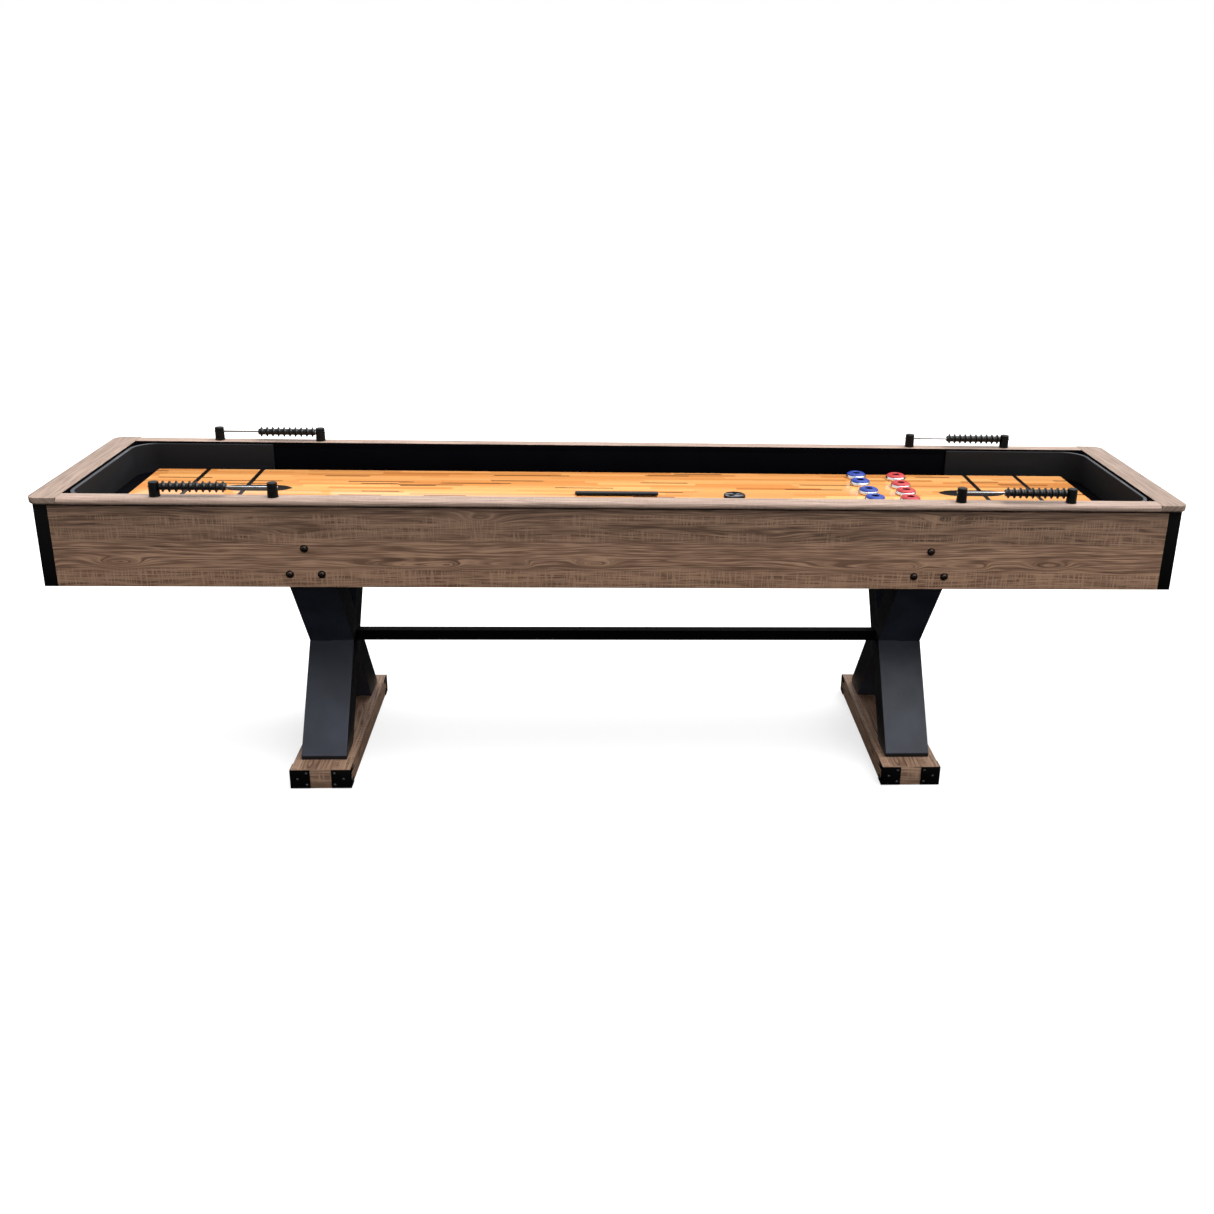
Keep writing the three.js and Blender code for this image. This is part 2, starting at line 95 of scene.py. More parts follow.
class Nodes:
    """A short way to write a node material. Most methods add a node and give its output socket."""

    def __init__(self, name):
        self.material = bpy.data.materials.new(name)
        self.material.use_nodes = True
        self.tree = self.material.node_tree
        self.shader = self.tree.nodes["Principled BSDF"]

    def add(self, kind, **settings):
        """Adds a node of that kind and sets its properties."""
        node = self.tree.nodes.new(kind)
        for key, value in settings.items():
            setattr(node, key, value)
        return node

    def put(self, socket, value):
        """Gives an input a value, or links an output to it."""
        if isinstance(value, bpy.types.NodeSocket):
            self.tree.links.new(value, socket)
        else:
            socket.default_value = value

    def finish(self, **inputs):
        """Sets the shader's inputs. An underscore stands for a space in an input's name."""
        for key, value in inputs.items():
            self.put(self.shader.inputs[key.replace("_", " ")], value)
        return self.material

    def math(self, operation, a, b=0.0, c=0.0):
        node = self.add("ShaderNodeMath", operation=operation)
        for socket, value in zip(node.inputs, (a, b, c)):
            self.put(socket, value)
        return node.outputs[0]

    def times(self, a, b):
        return self.math("MULTIPLY", a, b)

    def plus(self, a, b):
        return self.math("ADD", a, b)

    def minus(self, a, b):
        return self.math("SUBTRACT", a, b)

    def over(self, a, b):
        return self.math("DIVIDE", a, b)

    def size(self, a):
        return self.math("ABSOLUTE", a)

    def step(self, value, low, high):
        """0 at low, 1 at high and smooth between them; low may be the larger."""
        node = self.add("ShaderNodeMapRange", interpolation_type="SMOOTHSTEP")
        bounds = (value, low, high, 0.0, 1.0) if low < high else (value, high, low, 1.0, 0.0)
        for socket, setting in zip(node.inputs, bounds):
            self.put(socket, setting)
        return node.outputs[0]

    def between(self, value, low, high):
        """value, from about 0.3 to 0.7 as noise gives it, spread from low to high."""
        node = self.add("ShaderNodeMapRange")
        for socket, setting in zip(node.inputs, (value, 0.3, 0.7, low, high)):
            self.put(socket, setting)
        return node.outputs[0]

    def place(self):
        return self.add("ShaderNodeTexCoord").outputs["Object"]

    def parts(self, vector):
        split = self.add("ShaderNodeSeparateXYZ")
        self.put(split.inputs[0], vector)
        return tuple(split.outputs)

    def board(self):
        """Metres along the board's grain and across it, from the mesh's grain map."""
        return self.parts(self.add("ShaderNodeUVMap", uv_map="grain").outputs[0])[:2]

    def vector(self, x, y=0.0, z=0.0):
        node = self.add("ShaderNodeCombineXYZ")
        for socket, value in zip(node.inputs, (x, y, z)):
            self.put(socket, value)
        return node.outputs[0]

    def stretched(self, vector, scales):
        node = self.add("ShaderNodeVectorMath", operation="MULTIPLY")
        self.put(node.inputs[0], vector)
        self.put(node.inputs[1], scales)
        return node.outputs[0]

    def noise(self, vector, scale=1.0, detail=2.0, roughness=0.5):
        node = self.add("ShaderNodeTexNoise")
        settings = {"Vector": vector, "Scale": scale, "Detail": detail, "Roughness": roughness}
        for key, value in settings.items():
            self.put(node.inputs[key], value)
        return node.outputs[0]

    def streaks(self, along, across, counts, detail=2.0, roughness=0.5, seed=0.0):
        """Noise with counts = so many features per metre along and across the grain."""
        place = self.vector(self.times(along, counts[0]), self.times(across, counts[1]), seed)
        return self.noise(place, 1.0, detail, roughness)

    def chance(self, *numbers):
        """A random number from 0 to 1 that depends only on those numbers."""
        node = self.add("ShaderNodeTexWhiteNoise")
        self.put(node.inputs["Vector"], self.vector(*numbers))
        return node.outputs["Value"]

    def mix(self, factor, first, second):
        node = self.add("ShaderNodeMix", data_type="RGBA")
        first_input, second_input = [socket for socket in node.inputs if socket.type == "RGBA"]
        self.put(node.inputs[0], factor)
        self.put(first_input, first)
        self.put(second_input, second)
        return next(socket for socket in node.outputs if socket.type == "RGBA")

    def bump(self, height, strength, distance):
        node = self.add("ShaderNodeBump")
        self.put(node.inputs["Height"], height)
        self.put(node.inputs["Strength"], strength)
        self.put(node.inputs["Distance"], distance)
        self.put(self.shader.inputs["Normal"], node.outputs[0])


# ---------------------------------------------------------------- wood

# The laminate's print repeats along the board. Round each knot and flame the grain lines are
# pushed aside: place along and across, reach before it, after it and across, and the push.
# Over the two heights below, the colours may change from one strength along a board's upper part
# to another along its lower part: the aprons are darker above and lighter below.
PRINT_REPEAT = 1.115
TONE_STEP_HEIGHTS = (0.135, 0.085)
PRINT_FIGURES = (
    (1.050, 0.061, 0.055, 0.050, 0.010, 0.026),
    (0.695, 0.056, 0.280, 0.030, 0.011, 0.026),
    (0.875, 0.058, 0.140, 0.022, 0.009, 0.020),
    (0.775, 0.172, 0.060, 0.060, 0.014, 0.020),
    (0.330, 0.130, 0.160, 0.120, 0.016, 0.016),
)
# The dark veins: the noise level that each follows, how many there are per metre, and a seed.
DARK_VEINS = ((0.50, 52, 7.7), (0.47, 110, 2.9), (0.53, 150, 5.6))
# Where on the print each board is cut: metres along it and across it.
CUT_FROM = {
    "side_rail": (0.0, -0.97),
    "end_rail": (0.4, 0.68),
    "long_apron": (0.0, 0.0),
    "end_apron": (0.3, 0.0),
    "foot_end": (0.5, 0.10),
    "foot_top": (1.3, 0.02),
    "foot_side": (0.7, 0.03),
}


def figured_grain(nodes, along, across):
    """The distance across the board, bent round the figures of the print."""
    sway = nodes.streaks(along, across, (2.2, 6))
    line = nodes.math("MULTIPLY_ADD", sway, 0.035, across)
    for at, height, before, after, reach, push in PRINT_FIGURES:
        offset = nodes.math("WRAP", nodes.minus(along, at), PRINT_REPEAT / 2, -PRINT_REPEAT / 2)
        behind = nodes.over(nodes.math("MINIMUM", offset, 0.0), before)
        ahead = nodes.over(nodes.math("MAXIMUM", offset, 0.0), after)
        side = nodes.over(nodes.minus(across, height), reach)
        square = nodes.times(behind, behind)
        square = nodes.math("MULTIPLY_ADD", ahead, ahead, square)
        square = nodes.math("MULTIPLY_ADD", side, side, square)
        bell = nodes.math("EXPONENT", nodes.times(square, -1.0))
        line = nodes.math("MULTIPLY_ADD", bell, push, line)
    return line


def saw_marks(nodes, along, across):
    """Fine upright and level saw lines a few mm apart, in two bands of the print."""
    drift = nodes.between(nodes.streaks(along, across, (3, 0)), -0.012, 0.012)
    height = nodes.plus(across, drift)
    upper = nodes.times(nodes.step(height, 0.108, 0.130), nodes.step(height, 0.190, 0.172))
    lower = nodes.step(height, 0.052, 0.034)
    patches = nodes.step(nodes.streaks(along, across, (7, 24), seed=3.3), 0.38, 0.52)
    bands = nodes.math("MAXIMUM", nodes.times(upper, patches), nodes.times(lower, 0.9))
    upright = nodes.step(nodes.streaks(along, across, (290, 20), 1.0), 0.50, 0.60)
    level = nodes.step(nodes.streaks(along, across, (16, 290), 1.0, seed=5.1), 0.50, 0.60)
    return nodes.times(nodes.math("MAXIMUM", upright, nodes.times(level, 0.8)), bands)


def fine_veins(nodes, along, line, level, closeness, seed):
    """Thin contour lines that follow the grain and taper out."""
    field = nodes.streaks(along, line, (closeness / 80, closeness), 1.0, seed=seed)
    ridge = nodes.step(nodes.size(nodes.minus(field, level)), 0.026, 0.004)
    breaks = nodes.step(nodes.streaks(along, line, (5, 60), 1.0, seed=seed + 1), 0.42, 0.58)
    return nodes.times(ridge, breaks)


def driftwood(name, tones, sheen, marks=1.0, height_tone=(1.0, 1.0)):
    """Driftwood laminate in a dark, a middle and a light tone, with veins and saw marks.

    marks is how strongly the veins and saw marks show. The last argument is the strength of the colours
    along the board's upper part and along its lower part.
    """
    dark, middle, light = (screen_colour(*tone) for tone in tones)
    nodes = Nodes(name)
    along, across = nodes.board()
    lower_part = nodes.step(across, *TONE_STEP_HEIGHTS)

    def tint(colour):
        return nodes.mix(lower_part, shaded(colour, height_tone[0]), shaded(colour, height_tone[1]))

    line = figured_grain(nodes, along, across)
    broad = nodes.streaks(along, line, (1.6, 40))
    grain = nodes.streaks(along, line, (5, 230), 1.0)
    fibre = nodes.streaks(along, line, (14, 370), 1.0)
    hatch = saw_marks(nodes, along, across)

    tone = nodes.plus(nodes.times(grain, 0.46), nodes.times(broad, 0.08))
    tone = nodes.math("MULTIPLY_ADD", fibre, 0.46, tone)
    colour = nodes.mix(nodes.step(tone, 0.40, 0.50), tint(dark), tint(middle))
    colour = nodes.mix(nodes.step(tone, 0.49, 0.60), colour, tint(light))
    light_veins = fine_veins(nodes, along, line, 0.54, 60, 11.3)
    colour = nodes.mix(nodes.times(light_veins, 0.5), colour, tint(shaded(light, 1.1)))
    for level, closeness, seed in DARK_VEINS:
        dark_veins = fine_veins(nodes, along, line, level, closeness, seed)
        colour = nodes.mix(nodes.times(dark_veins, 0.85 * marks), colour, tint(shaded(dark, 0.6)))
    colour = nodes.mix(nodes.times(hatch, 0.65 * marks), colour, tint(shaded(light, 1.15)))
    nodes.bump(nodes.math("MULTIPLY_ADD", hatch, 0.3, tone), 0.3, 0.3 * MM)
    return nodes.finish(
        Base_Color=colour,
        Roughness=nodes.between(grain, 0.58, 0.48),
        Specular_IOR_Level=sheen,
    )


def stave_colour(nodes, x, y):
    """Butcher-block staves of mixed maple tones, their grain, and where their joints are."""
    width = 17.8 * MM
    row = nodes.math("FLOOR", nodes.over(y, width))
    length = nodes.math("MULTIPLY_ADD", nodes.chance(row, 8.3), 0.22, 0.20)
    place = nodes.math("MULTIPLY_ADD", nodes.chance(row, 1.7), 9.0, nodes.over(x, length))
    number = nodes.math("FLOOR", place)
    shade = nodes.chance(row, number, 2.0)
    hue = nodes.chance(row, number, 5.0)
    grain = nodes.streaks(x, nodes.math("MULTIPLY_ADD", shade, 3.0, y), (9, 420), 3.0, 0.55)

    colour = nodes.mix(shade, screen_colour(186, 122, 62), screen_colour(226, 168, 104))
    colour = nodes.mix(nodes.times(hue, 0.5), colour, screen_colour(204, 127, 66))
    tawny = nodes.times(nodes.step(nodes.chance(row, number, 7.0), 0.86, 0.90), 0.55)
    colour = nodes.mix(tawny, colour, screen_colour(164, 96, 42))
    grain_mark = nodes.times(nodes.step(grain, 0.50, 0.75), 0.3)
    colour = nodes.mix(grain_mark, colour, screen_colour(186, 116, 54))

    side_joint = nodes.size(nodes.minus(nodes.math("FRACT", nodes.over(y, width)), 0.5))
    end_joint = nodes.size(nodes.minus(nodes.math("FRACT", place), 0.5))
    side_joint = nodes.step(side_joint, 0.475, 0.495)
    joint = nodes.math("MAXIMUM", side_joint, nodes.step(end_joint, 0.4975, 0.4990))
    return colour, grain, joint


def walnut_slips(nodes, x, y):
    """1 on the few thin dark slips let in between the staves, 0 elsewhere."""
    width = 8.9 * MM
    row = nodes.math("FLOOR", nodes.over(y, width))
    length = nodes.math("MULTIPLY_ADD", nodes.chance(row, 4.4), 0.10, 0.09)
    place = nodes.over(nodes.plus(x, nodes.chance(row, 6.1)), length)
    chosen = nodes.math("GREATER_THAN", nodes.chance(row, nodes.math("FLOOR", place), 9.0), 0.955)
    across = nodes.size(nodes.minus(nodes.math("FRACT", nodes.over(y, width)), 0.5))
    return nodes.times(chosen, nodes.step(across, 0.40, 0.34))


def foul_lines_and_markers(nodes, x, y):
    """1 on the two lines and the plain pointed bar at each end, 0 elsewhere."""
    from_middle = nodes.size(x)
    bar_x = nodes.over(nodes.size(nodes.minus(from_middle, MARKER_AT[0])), MARKER_HALF[0])
    bar_y = nodes.over(nodes.size(nodes.minus(y, MARKER_AT[1])), MARKER_HALF[1])
    bulge = nodes.plus(nodes.math("POWER", bar_x, 5.0), bar_y)
    printed = nodes.step(bulge, 1.02, 0.98)
    half = FOUL_LINE_WIDTH / 2
    for centre in FOUL_LINES:
        distance = nodes.size(nodes.minus(from_middle, centre))
        printed = nodes.math("MAXIMUM", printed, nodes.step(distance, half + 0.3 * MM, half))
    return printed


def playfield_wood():
    """Clear-coated staves, with two foul lines and a plain marker at each end."""
    nodes = Nodes("playfield_wood")
    x, y, _ = nodes.parts(nodes.place())
    colour, grain, joint = stave_colour(nodes, x, y)
    colour = nodes.mix(nodes.times(joint, 0.35), colour, screen_colour(140, 86, 44))
    colour = nodes.mix(nodes.times(walnut_slips(nodes, x, y), 0.9), colour, screen_colour(52, 22, 6))
    printed = foul_lines_and_markers(nodes, x, y)
    colour = nodes.mix(printed, colour, screen_colour(12, 9, 8))
    nodes.bump(nodes.minus(grain, joint), 0.06, 0.15 * MM)
    return nodes.finish(
        Base_Color=colour,
        Roughness=nodes.between(grain, 0.26, 0.34),
        Specular_IOR_Level=0.08,
        Coat_Weight=nodes.math("MULTIPLY_ADD", printed, -0.58, 0.65),
        Coat_Roughness=0.07,
    )


# ---------------------------------------------------------------- other materials

def paint(name, colour, roughness, specular, edge=None):
    """Satin paint over wood. Upright faces can take an edge colour of their own, which is painted shade.
    """
    colour = screen_colour(*colour)
    nodes = Nodes(name)
    place = nodes.place()
    mottle = nodes.noise(place, 9.0, 3.0)
    grain = nodes.noise(nodes.stretched(place, (260, 24, 24)))
    peel = nodes.noise(place, 900.0, 1.0)
    nodes.bump(nodes.math("MULTIPLY_ADD", grain, 0.7, peel), 0.12, 0.2 * MM)
    painted = nodes.mix(nodes.step(mottle, 0.35, 0.75), colour, shaded(colour, 1.7))
    # Painted shade: faces that stand upright, the sides of a plank, take the darker edge colour.
    if edge:
        upward = nodes.parts(nodes.add("ShaderNodeTexCoord").outputs["Normal"])[2]
        upright = nodes.step(nodes.size(upward), 0.30, 0.15)
        painted = nodes.mix(upright, painted, screen_colour(*edge))
    return nodes.finish(
        Base_Color=painted,
        Roughness=nodes.between(grain, roughness - 0.04, roughness + 0.06),
        Specular_IOR_Level=specular,
    )


def rubber(name, colour, worn, arms=None):
    """Bumper strip with a fine pebble grain and paler scuffs; arms colours its two straight arms."""
    nodes = Nodes(name)
    place = nodes.place()
    scuffs = nodes.noise(nodes.stretched(place, (5, 5, 22)), 1.0, 4.0, 0.65)
    scuffed = nodes.mix(nodes.step(scuffs, 0.45, 0.75), screen_colour(*colour), screen_colour(*worn))
    if arms:
        from_middle = nodes.size(nodes.parts(place)[0])
        scuffed = nodes.mix(nodes.step(from_middle, *BUMPER_BEND), screen_colour(*arms), scuffed)
    nodes.bump(nodes.noise(place, 700.0), 0.3, 0.3 * MM)
    return nodes.finish(
        Base_Color=scuffed,
        Roughness=nodes.between(scuffs, 0.72, 0.86),
        Specular_IOR_Level=0.2,
    )


def plastic(name, colour, roughness, specular):
    """Moulded plastic: soft sheen, faint flow marks and a fine mould texture."""
    colour = screen_colour(*colour)
    nodes = Nodes(name)
    place = nodes.place()
    flow = nodes.noise(place, 120.0, 3.0)
    nodes.bump(nodes.noise(place, 1500.0, 1.0), 0.12, 0.1 * MM)
    marks = nodes.times(nodes.step(flow, 0.4, 0.7), 0.5)
    return nodes.finish(
        Base_Color=nodes.mix(marks, colour, shaded(colour, 1.3, 0.004)),
        Roughness=nodes.between(flow, roughness - 0.05, roughness + 0.08),
        Specular_IOR_Level=specular,
    )


def metal(name, colour, roughness, scratches):
    """Bare or plated metal. scratches is how fine they are along each axis."""
    colour = screen_colour(*colour)
    nodes = Nodes(name)
    place = nodes.place()
    smudge_and_highlight = nodes.noise(place, 60.0, 3.0)
    nodes.bump(nodes.noise(nodes.stretched(place, scratches)), 0.06, 0.1 * MM)
    return nodes.finish(
        Base_Color=nodes.mix(nodes.step(smudge_and_highlight, 0.4, 0.8), colour, shaded(colour, 0.75)),
        Metallic=1.0,
        Roughness=nodes.between(smudge_and_highlight, roughness, roughness + 0.12),
    )


def enamel_with_painted_highlight():
    """The wax tin's top: black enamel with pale streaks that are a painted highlight."""
    nodes = Nodes("tin_top")
    smudge_and_highlight = nodes.noise(nodes.stretched(nodes.place(), (28, 60, 28)), 1.0, 3.0, 0.6)
    nodes.bump(smudge_and_highlight, 0.2, 0.2 * MM)
    return nodes.finish(
        Base_Color=nodes.mix(nodes.step(smudge_and_highlight, 0.50, 0.58), screen_colour(5, 5, 6),
                             screen_colour(104, 104, 108)),
        Roughness=nodes.between(smudge_and_highlight, 0.45, 0.7),
        Specular_IOR_Level=0.03,
    )


MATERIALS = {
    "driftwood": driftwood("driftwood", ((92, 69, 55), (116, 90, 73), (142, 113, 92)), 0.20,
                           height_tone=(0.76, 1.32)),
    "foot_wood": driftwood("foot_wood", ((88, 67, 54), (112, 88, 72), (136, 110, 91)), 0.20),
    # Side and end rails are one laminate. The side rails' copy is lighter, with fainter marks: a painted
    # sheen, as the bullnosed front rail catches the light; the end rails' copy is darker.
    "rail_wood": driftwood("rail_wood", ((114, 95, 84), (132, 112, 100), (154, 132, 119)), 0.35,
                           marks=0.35),
    "end_rail_wood": driftwood("end_rail_wood", ((105, 88, 77), (124, 106, 95), (140, 121, 108)), 0.30,
                               marks=0.5),
    "playfield": playfield_wood(),
    # The planks' upright sides take a near-black edge colour as painted shade.
    "paint": paint("black_paint", (31, 34, 43), 0.42, 0.25, edge=(7, 7, 8)),
    "dull_paint": paint("dull_black_paint", (3, 3, 3), 0.60, 0.03),
    "post_paint": paint("post_paint", (6, 6, 6), 0.55, 0.05),
    "board": paint("black_board", (2, 2, 4), 0.70, 0.02),
    "bracket": paint("black_bracket", (3, 3, 3), 0.50, 0.04),
    "liner": rubber("liner_face", (9, 9, 12), (18, 18, 22)),
    "liner_edge": rubber("liner_edge", (62, 64, 68), (100, 102, 106), arms=(14, 14, 18)),
    "screw": metal("screw_steel", (96, 96, 98), 0.35, (500, 500, 500)),
    "washer": metal("washer_steel", (34, 30, 28), 0.40, (600, 600, 600)),
    "bolt": metal("bolt_steel", (62, 53, 48), 0.30, (600, 600, 600)),
    "rod": metal("rod_steel", (140, 142, 146), 0.20, (12, 900, 900)),
    "chrome": metal("puck_chrome", (225, 225, 228), 0.14, (300, 300, 1200)),
    "bead": plastic("bead_plastic", (6, 6, 8), 0.33, 0.35),
    "post": plastic("post_plastic", (4, 4, 4), 0.40, 0.12),
    "blue": plastic("cap_blue", (26, 48, 122), 0.38, 0.2),
    # The pit colours are darker copies of the caps' colours, painted shade for the dimples.
    "blue_pit": plastic("pit_shade_blue", (2, 4, 30), 0.60, 0.02),
    "red": plastic("cap_red", (150, 44, 48), 0.38, 0.2),
    "red_pit": plastic("pit_shade_red", (60, 2, 6), 0.60, 0.02),
    "handle": plastic("brush_handle", (20, 23, 30), 0.45, 0.25),
    "bristle": plastic("brush_bristles", (8, 7, 8), 0.75, 0.1),
    "enamel": plastic("tin_enamel", (5, 5, 6), 0.35, 0.12),
    "tin_top": enamel_with_painted_highlight(),
}


# ---------------------------------------------------------------- mesh helpers

def add_piece(name, bm, materials, body="root", replaces=(), smooth=35):
    """Turns a bmesh into a named piece that rides on a CAD body. smooth is in degrees."""
    bmesh.ops.recalc_face_normals(bm, faces=bm.faces)
    mesh = bpy.data.meshes.new(name)
    bm.to_mesh(mesh)
    bm.free()
    for key in materials:
        mesh.materials.append(MATERIALS[key])
    piece = bpy.data.objects.new(name, mesh)
    bpy.context.scene.collection.objects.link(piece)
    mesh.shade_smooth()
    mesh.set_sharp_from_angle(angle=math.radians(smooth))
    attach(piece, body)
    if replaces:
        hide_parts(*replaces)
    return piece


def box_mesh(low, high):
    """A plain box from its lowest corner to its highest."""
    low, high = Vector(low), Vector(high)
    bm = bmesh.new()
    size = Matrix.Diagonal((*(high - low), 1.0))
    bmesh.ops.create_cube(bm, size=1.0, matrix=Matrix.Translation((low + high) / 2) @ size)
    return bm


def bevel(bm, edges, width, segments=3):
    """Rounds those edges."""
    bmesh.ops.bevel(bm, geom=list(edges), offset=width, segments=segments, profile=0.5,
                    affect="EDGES", clamp_overlap=True)


def edges_at(bm, **places):
    """The edges that lie at the given x, y or z."""
    def lies_there(point):
        return all(abs(getattr(point, axis) - value) < 1e-5 for axis, value in places.items())
    return [edge for edge in bm.edges if all(lies_there(vert.co) for vert in edge.verts)]


def sharp_edges(bm):
    """The edges where two faces meet at more than 40 degrees."""
    limit = math.radians(40)
    return [edge for edge in bm.edges if edge.is_manifold and edge.calc_face_angle(0.0) > limit]


def soft_box(corner, opposite, radius, segments=2):
    """A box between any two opposite corners, with all its edges rounded."""
    pairs = list(zip(corner, opposite))
    bm = box_mesh([min(pair) for pair in pairs], [max(pair) for pair in pairs])
    bevel(bm, bm.edges, radius, segments)
    return bm


def prism(outline, along, start, end):
    """A solid prism: outline is a list of points, moved from start to end along that direction."""
    bm = bmesh.new()
    along = Vector(along)
    rings = [[bm.verts.new(Vector(point) + along * place) for point in outline] for place in (start, end)]
    bm.faces.new(rings[0])
    bm.faces.new(rings[1])
    for i, corner in enumerate(rings[0]):
        following = (i + 1) % len(outline)
        bm.faces.new((corner, rings[0][following], rings[1][following], rings[1][i]))
    bmesh.ops.recalc_face_normals(bm, faces=bm.faces)
    return bm


def paint_faces(bm, number, test):
    """Gives the faces that pass test(centre, normal) that material number."""
    bm.normal_update()
    for face in bm.faces:
        if test(face.calc_center_median(), face.normal):
            face.material_index = number


def circle(angle):
    """The shape of a plain ring, equally far out at every angle."""
    return 1.0


def hexagon(angle):
    """How far out a hexagon's side is at that angle, next to a circle round its corners."""
    within = angle % (math.pi / 3) - math.pi / 6
    return math.cos(math.pi / 6) / math.cos(within)


def cross(angle):
    """How far out the edge of a cross-shaped recess is, next to a circle round its ends."""
    nearness = max(abs(math.cos(angle)), abs(math.sin(angle)))
    return 0.3 + 0.7 * nearness ** 40


def lathe(profile, centre, axis=(0, 0, 1), segments=48, closed=False):
    """A turned solid. profile is a list of (radius, height) or (radius, height, shape)."""
    bm = bmesh.new()
    turn = Vector((0, 0, 1)).rotation_difference(Vector(axis)).to_matrix()
    angles = [2 * math.pi * i / segments for i in range(segments)]

    def ring(radius, height, shape=circle):
        if radius == 0:
            return [bm.verts.new(Vector(centre) + turn @ Vector((0, 0, height)))] * segments
        points = [Vector((math.cos(a), math.sin(a), 0)) * radius * shape(a) for a in angles]
        return [bm.verts.new(Vector(centre) + turn @ (p + Vector((0, 0, height)))) for p in points]

    rings = [ring(*entry) for entry in profile]
    pairs = list(zip(rings, rings[1:])) + ([(rings[-1], rings[0])] if closed else [])
    for lower, upper in pairs:
        for i in range(segments):
            j = (i + 1) % segments
            corners = list(dict.fromkeys((lower[i], lower[j], upper[j], upper[i])))
            bm.faces.new(corners)
    bmesh.ops.recalc_face_normals(bm, faces=bm.faces)
    return bm


def eased(profile, radius, steps=3):
    """Rounds the corners of a lathe profile of (radius, height) points."""
    points = [Vector(point) for point in profile]
    made = [tuple(points[0])]
    for before, corner, after in zip(points, points[1:], points[2:]):
        cut = min(radius, (before - corner).length * 0.45, (after - corner).length * 0.45)
        start = corner + (before - corner).normalized() * cut
        end = corner + (after - corner).normalized() * cut
        for i in range(steps + 1):
            t = i / steps
            made.append(tuple(start * (1 - t) ** 2 + corner * 2 * t * (1 - t) + end * t ** 2))
    made.append(tuple(points[-1]))
    return made


def together(*meshes):
    """One bmesh from several, keeping each face's material number."""
    whole = bmesh.new()
    for part in meshes:
        holder = bpy.data.meshes.new("holder")
        part.to_mesh(holder)
        part.free()
        whole.from_mesh(holder)
        bpy.data.meshes.remove(holder)
    return whole


def map_grain(bm, place):
    """Gives each face corner metres along and across the grain: place(point, face normal)."""
    layer = bm.loops.layers.uv.new("grain")
    bm.normal_update()
    for face in bm.faces:
        for loop in face.loops:
            loop[layer].uv = place(loop.vert.co, face.normal)


def round_node(node):
    """The middle of an upright round node's base, its radius and its height."""
    low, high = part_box(node)
    base = ((low.x + high.x) / 2, (low.y + high.y) / 2, low.z)
    return base, (high.x - low.x) / 2, high.z - low.z


# ---------------------------------------------------------------- rails and cabinet

def add_side_rail(face):
    """The bullnosed board along one side, butted between the end rails."""
    sign = FACES[face]
    low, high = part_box(f"rail_{face}")
    outer, inner = (low.y, high.y) if sign < 0 else (high.y, low.y)
    bm = box_mesh(low, high)
    bevel(bm, edges_at(bm, y=outer, z=high.z), RAIL_ROUND["outer_top"], 8)
    bevel(bm, edges_at(bm, y=outer, z=low.z), RAIL_ROUND["outer_bottom"], 6)
    bevel(bm, edges_at(bm, y=inner, z=high.z), RAIL_ROUND["inner_top"], 3)
    bevel(bm, edges_at(bm, x=low.x) + edges_at(bm, x=high.x), 0.5 * MM, 1)
    along, across = CUT_FROM["side_rail"]
    map_grain(bm, lambda point, normal: (along + sign * point.x, across + point.z - sign * point.y))
    paint_faces(bm, 1, lambda centre, normal: normal.y * sign < -0.9)
    add_piece(f"side_rail_{face}", bm, ["rail_wood", "board"], replaces=[f"rail_{face}"])


def outer_rim(bm, height, inner):
    """The sharp edges at that height, but for those along the inner side at x = inner."""
    return [edge for edge in edges_at(bm, z=height) if edge.is_manifold
            and edge.calc_face_angle(0.0) > math.radians(60)
            and max(abs(vert.co.x - inner) for vert in edge.verts) > 2 * MM]


def add_end_rail(side):
    """The wider board across one end, with two rounded corners."""
    sign = SIDES[side]
    low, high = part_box(f"rail_{side}_end")
    outer, inner = (low.x, high.x) if sign < 0 else (high.x, low.x)
    bm = box_mesh(low, high)
    corners = edges_at(bm, x=outer, y=low.y) + edges_at(bm, x=outer, y=high.y)
    bevel(bm, corners, RAIL_ROUND["corner"], 10)
    bevel(bm, edges_at(bm, x=inner, z=high.z), 0.8 * MM, 2)
    for height, radius in ((high.z, RAIL_ROUND["outer_top"]), (low.z, RAIL_ROUND["outer_bottom"])):
        bevel(bm, outer_rim(bm, height, inner), radius, 7)
    along, across = CUT_FROM["end_rail"]
    map_grain(bm, lambda point, normal: (along + sign * point.y, across + point.z - sign * point.x))
    paint_faces(bm, 1, lambda centre, normal: normal.x * sign < -0.9)
    materials = ["end_rail_wood", "board"]
    add_piece(f"end_rail_{side}", bm, materials, replaces=[f"rail_{side}_end"])


def add_long_apron(face):
    """A laminated board outside, a shadow gap above it, and a black lining inside."""
    sign = FACES[face]
    node = f"apron_{face}"
    low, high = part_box(node)
    outer, inner = (low.y, high.y) if sign < 0 else (high.y, low.y)
    joint = outer - sign * APRON_BOARD
    board = soft_box((low.x, outer, low.z), (high.x, joint, high.z - SHADOW_GAP), BOARD_EDGE)
    along, across = CUT_FROM["long_apron"]
    map_grain(board, lambda point, normal: (along - sign * point.x, across + point.z - low.z))
    add_piece(f"apron_board_{face}", board, ["driftwood"], replaces=[node])
    lining = soft_box((low.x, joint, low.z), (high.x, inner, high.z), BOARD_EDGE)
    add_piece(f"apron_lining_{face}", lining, ["board"], replaces=[node])


